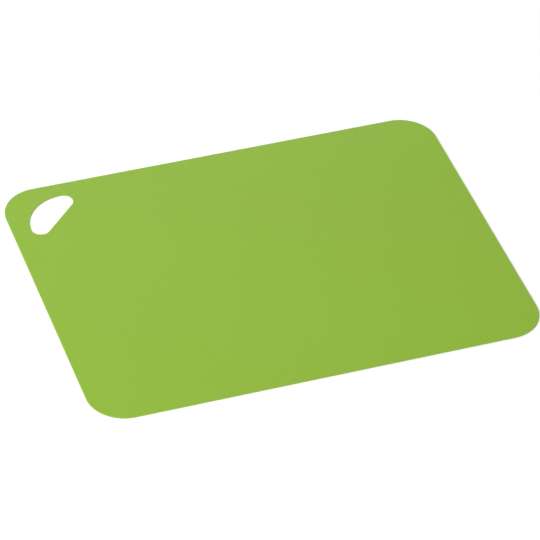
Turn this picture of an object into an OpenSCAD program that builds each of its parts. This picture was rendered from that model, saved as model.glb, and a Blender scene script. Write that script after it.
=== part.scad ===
// Flexible kitchen cutting mat: one thin sheet of moulded polypropylene, in millimetres.
// It lies flat, has four wide round corners, and one corner has a D-shaped hang hole
// whose curved side follows that corner. Every edge is rounded on both faces.
// The origin is at the middle of the underside. +X runs along the long side,
// +Y points away from the cook, and the hang hole is in the far left corner.

/* [Sheet] */
// Length of the mat, along X
mat_length = 380; // [300:5:450]
// Width of the mat, along Y
mat_width = 290; // [200:5:350]
// Thickness of the sheet
sheet_t = 0.8; // [0.5:0.1:1.5]
// Radius of the four corners, seen from above
corner_r = 31; // [10:1:50]
// Rounding of the edge on both faces, round the mat and in the hang hole
edge_r = 0.3; // [0.1:0.05:0.4]

/* [Hang hole] */
// Sheet left between the hole and the left edge
hole_margin_left = 16; // [10:0.5:25]
// Sheet left between the hole and the far edge
hole_margin_far = 15; // [10:0.5:25]
// Radius of the hole's curved side
hole_arc_r = 36; // [28:1:45]
// Depth of the hole, from the crest of its curved side to its straight side
hole_depth = 24; // [18:0.5:30]
// Radius of the hole's two round ends
hole_end_r = 8; // [3:0.5:8.5]

/* [Hidden] */
$fn = 120;

// Flat band left in the middle of an edge, between its two roundings
edge_land = 0.1;
// How far the hole's cutter runs past both faces
overcut = 1;
// Overlap of the middle of the cutter with its sides, so that no sliver stays between them
seam = 0.5;
// How far the hole's round ends stand past its two sides, so that their surfaces cross
end_blend = 0.01;
// Segments of an edge rounding's full circle, where the model is drawn as a mesh
edge_segments = 24;
// Turn about Z that points the hole's curved side at the far left corner
hole_turn = 135;

// The edge rounding, limited by the thickness of the sheet
rim_r = min(edge_r, (sheet_t - edge_land) / 2);

// The middle of the curved side's circle
hole_x = -(mat_length / 2 - hole_margin_left - hole_arc_r);
hole_y = mat_width / 2 - hole_margin_far - hole_arc_r;

// The hole is a circular segment, its core, grown outwards by the radius of its ends
core_r = hole_arc_r - hole_end_r;
core_x = hole_arc_r - hole_depth + hole_end_r;
core_angle = acos(core_x / core_r);
core_half = core_r * sin(core_angle);

// Section through the sheet: the thickness stands on Y and the rounded edge is at x = reach
module sheet_section(reach) {
    square([reach - rim_r, sheet_t]);
    translate([0, rim_r])
        square([reach, sheet_t - 2 * rim_r]);
    for (y = [rim_r, sheet_t - rim_r])
        translate([reach - rim_r, y])
            circle(r = rim_r, $fn = edge_segments);
}

// Section through the hole's cutter: it leaves the sheet with a rounded edge at x = reach
module cutter_section(reach) {
    difference() {
        translate([0, -overcut])
            square([reach + rim_r, sheet_t + 2 * overcut]);
        translate([reach + 2 * rim_r, 0])
            mirror([1, 0])
                sheet_section(2 * rim_r);
    }
}

// The part of the sheet from the middle to the far long edge, between two corners
module long_side() {
    straight = mat_length - 2 * corner_r;
    translate([-straight / 2, 0, 0])
        rotate([90, 0, 90])
            linear_extrude(straight)
                sheet_section(mat_width / 2);
}

// The part of the sheet from the middle to the right short edge, between two corners
module short_side() {
    straight = mat_width - 2 * corner_r;
    translate([0, straight / 2, 0])
        rotate([90, 0, 0])
            linear_extrude(straight)
                sheet_section(mat_length / 2);
}

// The far right corner, a quarter turn of the sheet's section
module round_corner() {
    translate([mat_length / 2 - corner_r, mat_width / 2 - corner_r, 0])
        rotate_extrude(angle = 90)
            sheet_section(corner_r);
}

// The whole sheet before its hole is cut
module plain_sheet() {
    for (side = [0, 1]) {
        mirror([0, side, 0])
            long_side();
        mirror([side, 0, 0])
            short_side();
        for (end = [0, 1])
            mirror([end, 0, 0])
                mirror([0, side, 0])
                    round_corner();
    }
}

// The middle of the hole: a circular segment with its crest towards +X
module hole_core() {
    translate([0, 0, -overcut])
        linear_extrude(sheet_t + 2 * overcut)
            intersection() {
                circle(r = core_r + seam);
                translate([core_x - seam, -core_r])
                    square([core_r, 2 * core_r]);
            }
}

// The curved side of the hole, out to its full radius
module hole_curved_side() {
    rotate(-core_angle)
        rotate_extrude(angle = 2 * core_angle)
            translate([core_r, 0])
                cutter_section(hole_end_r);
}

// The straight side of the hole
module hole_straight_side() {
    translate([core_x, -core_half, 0])
        rotate([90, 0, 180])
            linear_extrude(2 * core_half)
                cutter_section(hole_end_r);
}

// One round end of the hole, between its curved side and its straight side
module hole_end() {
    translate([core_x, core_half, 0])
        rotate_extrude()
            cutter_section(hole_end_r + end_blend);
}

// The whole cutter of the hole, around the middle of the curved side's circle
module hole_cutter() {
    hole_core();
    hole_curved_side();
    hole_straight_side();
    hole_end();
    mirror([0, 1, 0])
        hole_end();
}

// The finished mat, in lime green plastic
module cutting_mat() {
    color("#94BA48")
        difference() {
            plain_sheet();
            translate([hole_x, hole_y, 0])
                rotate(hole_turn)
                    hole_cutter();
        }
}

cutting_mat();
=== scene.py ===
# Flexible cutting mat: the finish of the sheet, a plain pale floor, soft studio light and the camera.
import math

import bmesh
import bpy
from mathutils import Matrix, Vector


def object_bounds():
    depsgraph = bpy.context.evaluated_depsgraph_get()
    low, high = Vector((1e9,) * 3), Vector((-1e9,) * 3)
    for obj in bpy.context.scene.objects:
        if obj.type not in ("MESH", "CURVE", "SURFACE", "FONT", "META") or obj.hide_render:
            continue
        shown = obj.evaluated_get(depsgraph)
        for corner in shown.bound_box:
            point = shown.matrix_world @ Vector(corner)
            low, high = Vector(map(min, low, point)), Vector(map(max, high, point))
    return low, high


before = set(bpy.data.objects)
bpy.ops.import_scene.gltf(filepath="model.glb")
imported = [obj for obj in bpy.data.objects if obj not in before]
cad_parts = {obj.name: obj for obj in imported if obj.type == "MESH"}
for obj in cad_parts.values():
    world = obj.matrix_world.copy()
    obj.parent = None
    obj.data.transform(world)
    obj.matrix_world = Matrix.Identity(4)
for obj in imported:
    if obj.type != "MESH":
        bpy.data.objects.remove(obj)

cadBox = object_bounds()
mm = 0.001


# sRGB hex to the linear colour that shaders take
def hexColour(code):
    channels = [int(code[i:i + 2], 16) / 255 for i in (1, 3, 5)]
    linear = [c / 12.92 if c <= 0.04045 else ((c + 0.055) / 1.055) ** 2.4 for c in channels]
    return (*linear, 1.0)


# Adds one node: values and links go to its inputs by name or number, settings to its properties
def addNode(tree, kind, values=None, links=None, **settings):
    node = tree.nodes.new(kind)
    for name, value in settings.items():
        setattr(node, name, value)
    for socket, value in (values or {}).items():
        node.inputs[socket].default_value = value
    for socket, source in (links or {}).items():
        tree.links.new(source, node.inputs[socket])
    return node


def newMaterial(name):
    material = bpy.data.materials.new(name)
    material.use_nodes = True
    material.node_tree.nodes.clear()
    return material, material.node_tree


print("material: moulded polypropylene")
sheet = {
    "colour": "#85AD18",
    "paler": "#89AF1C",         # slight blooms where the melt cooled slower
    "paintedHollowShade": "#7FA914",        # painted shade: a little darker, down in the grain's hollows
    "paintedRimLight": "#92B732",           # painted light: a little paler on the thin edge, standing in for light that comes through it
    "bloomSize": 90 * mm,
    "bloomNoise": {"Detail": 2.0, "Roughness": 0.45},  # soft, with few small patches
    "grainSize": 0.8 * mm,      # drawn about four times as coarse as on a real mat, to show
    "grainDepth": 0.18 * mm,    # and deeper in the same measure
    "grainNoise": {"Detail": 3.0, "Roughness": 0.6},   # crisper
    "grainRange": (0.35, 0.65),  # what the grain's noise mostly runs between
    "hollowRoughness": 0.68,
    "crestRoughness": 0.46,     # the crests are a little smoother
    "rimFade": 0.1 * mm,        # from the rounded rim to each face
    "refractiveIndex": 1.49,    # of polypropylene
}


def polypropylene():
    # Moulded polypropylene: an even, slightly milky colour under a soft satin sheen,
    # which a fine matt grain breaks up.
    material, tree = newMaterial("mouldedPolypropylene")
    place = addNode(tree, "ShaderNodeTexCoord").outputs["Object"]
    bloom = addNode(tree, "ShaderNodeTexNoise",
                    {"Scale": 1 / sheet["bloomSize"], **sheet["bloomNoise"]},
                    {"Vector": place}).outputs["Fac"]
    grain = addNode(tree, "ShaderNodeTexNoise",
                    {"Scale": 1 / sheet["grainSize"], **sheet["grainNoise"]},
                    {"Vector": place}).outputs["Fac"]
    crest = addNode(tree, "ShaderNodeMapRange",
                    {"From Min": sheet["grainRange"][0], "From Max": sheet["grainRange"][1]},
                    {"Value": grain}).outputs["Result"]

    # The rim, found by its height between the two faces, where light is painted in as a paler colour.
    # A Math node takes its two numbers on inputs 0 and 1.
    middle = (cadBox[0][2] + cadBox[1][2]) / 2
    face = cadBox[1][2] - middle
    height = addNode(tree, "ShaderNodeSeparateXYZ", {}, {"Vector": place}).outputs["Z"]
    offset = addNode(tree, "ShaderNodeMath", {1: middle}, {0: height}, operation="SUBTRACT")
    distance = addNode(tree, "ShaderNodeMath", {}, {0: offset.outputs["Value"]},
                       operation="ABSOLUTE").outputs["Value"]
    paintedRimLight = addNode(tree, "ShaderNodeMapRange",
                  {"From Min": face - sheet["rimFade"], "From Max": face,
                   "To Min": 1.0, "To Max": 0.0},
                  {"Value": distance}).outputs["Result"]

    # A colour mix takes its factor on input 0 and its two colours on 6 and 7,
    # and gives the mixed colour on output 2.
    tint = addNode(tree, "ShaderNodeMix",
                   {6: hexColour(sheet["colour"]), 7: hexColour(sheet["paler"])},
                   {0: bloom}, data_type="RGBA").outputs[2]
    # Painted shade: the grain's hollows get the darker colour.
    grainWithPaintedShade = addNode(tree, "ShaderNodeMix", {6: hexColour(sheet["paintedHollowShade"])},
                      {0: crest, 7: tint}, data_type="RGBA").outputs[2]
    # Painted light: the rounded rim gets the paler colour.
    withPaintedRimLight = addNode(tree, "ShaderNodeMix", {7: hexColour(sheet["paintedRimLight"])},
                     {0: paintedRimLight, 6: grainWithPaintedShade}, data_type="RGBA").outputs[2]

    gloss = addNode(tree, "ShaderNodeMapRange",
                    {"To Min": sheet["hollowRoughness"], "To Max": sheet["crestRoughness"]},
                    {"Value": crest}).outputs["Result"]
    relief = addNode(tree, "ShaderNodeBump", {"Strength": 1.0, "Distance": sheet["grainDepth"]},
                     {"Height": grain}).outputs["Normal"]
    plastic = addNode(tree, "ShaderNodeBsdfPrincipled", {"IOR": sheet["refractiveIndex"]},
                      {"Base Color": withPaintedRimLight, "Roughness": gloss, "Normal": relief})
    addNode(tree, "ShaderNodeOutputMaterial", {}, {"Surface": plastic.outputs["BSDF"]})
    return material


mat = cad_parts["cutting_mat"]
green = polypropylene()
for slot in mat.material_slots:
    slot.material = green

print("stage: pale floor and soft light")
studio = {
    "floorSize": 12.0,          # metres
    "floorGap": 0.02 * mm,      # the floor lies just under the sheet
    "floorColour": "#FFFFFF",
    "floorRoughness": 0.9,
    "worldColour": "#FFFFFF",
    "worldStrength": 0.65,
}
softBoxes = {
    # place, width and height in metres, power in watts
    "nearLeftSoftBox": ((-1.7, -0.6, 1.3), (1.6, 1.2), 35),
    "farSoftBox": ((0.3, 1.75, 0.65), (1.2, 0.9), 8.6),  # low, for the sheen of the far side
}


def paintedFloor():
    # Matt white paint: an even pale ground that takes only a faint shadow.
    material, tree = newMaterial("mattWhitePaint")
    paint = addNode(tree, "ShaderNodeBsdfPrincipled",
                    {"Base Color": hexColour(studio["floorColour"]),
                     "Roughness": studio["floorRoughness"]})
    addNode(tree, "ShaderNodeOutputMaterial", {}, {"Surface": paint.outputs["BSDF"]})
    return material


def addFloor():
    plane = bmesh.new()
    under = Matrix.Translation((0, 0, cadBox[0][2] - studio["floorGap"]))
    bmesh.ops.create_grid(plane, x_segments=1, y_segments=1, size=studio["floorSize"] / 2,
                          matrix=under)
    mesh = bpy.data.meshes.new("floor")
    plane.to_mesh(mesh)
    plane.free()
    mesh.materials.append(paintedFloor())
    floor = bpy.data.objects.new("floor", mesh)
    bpy.context.scene.collection.objects.link(floor)


def addWorld():
    world = bpy.data.worlds.new("studioWorld")
    world.use_nodes = True
    background = world.node_tree.nodes["Background"]
    background.inputs["Color"].default_value = hexColour(studio["worldColour"])
    background.inputs["Strength"].default_value = studio["worldStrength"]
    bpy.context.scene.world = world


# A rectangular lamp that faces the middle of the mat
def addSoftBox(name, place, size, power):
    light = bpy.data.lights.new(name, "AREA")
    light.shape = "RECTANGLE"
    light.size, light.size_y = size
    light.energy = power
    lamp = bpy.data.objects.new(name, light)
    turn = (-Vector(place)).to_track_quat("-Z", "Y").to_matrix().to_4x4()
    lamp.matrix_world = Matrix.Translation(place) @ turn
    bpy.context.scene.collection.objects.link(lamp)


addFloor()
addWorld()
for name, (place, size, power) in softBoxes.items():
    addSoftBox(name, place, size, power)

print("camera")
view = {
    "azimuth": -20.55,          # degrees round from straight in front, negative to the left
    "elevation": 40.82,         # degrees above the sheet
    "roll": 2.44,               # degrees
    "distance": 2974.3 * mm,
    "aim": (-2.02 * mm, -9.43 * mm, 0),
    "lens": 243.32,             # focal length in mm, of a long lens
    "sensor": 36,               # width in mm
    "farClip": 60,              # metres
}


def addCamera():
    lens = bpy.data.cameras.new("camera")
    lens.lens = view["lens"]
    lens.sensor_width = view["sensor"]
    lens.clip_end = view["farClip"]
    camera = bpy.data.objects.new("camera", lens)
    turn = (Matrix.Rotation(math.radians(view["azimuth"]), 4, "Z")
            @ Matrix.Rotation(math.radians(90 - view["elevation"]), 4, "X"))
    back = Matrix.Translation((0, 0, view["distance"]))
    roll = Matrix.Rotation(math.radians(view["roll"]), 4, "Z")
    camera.matrix_world = Matrix.Translation(view["aim"]) @ turn @ back @ roll
    bpy.context.scene.collection.objects.link(camera)
    bpy.context.scene.camera = camera


addCamera()
bpy.context.scene.view_settings.view_transform = "Standard"
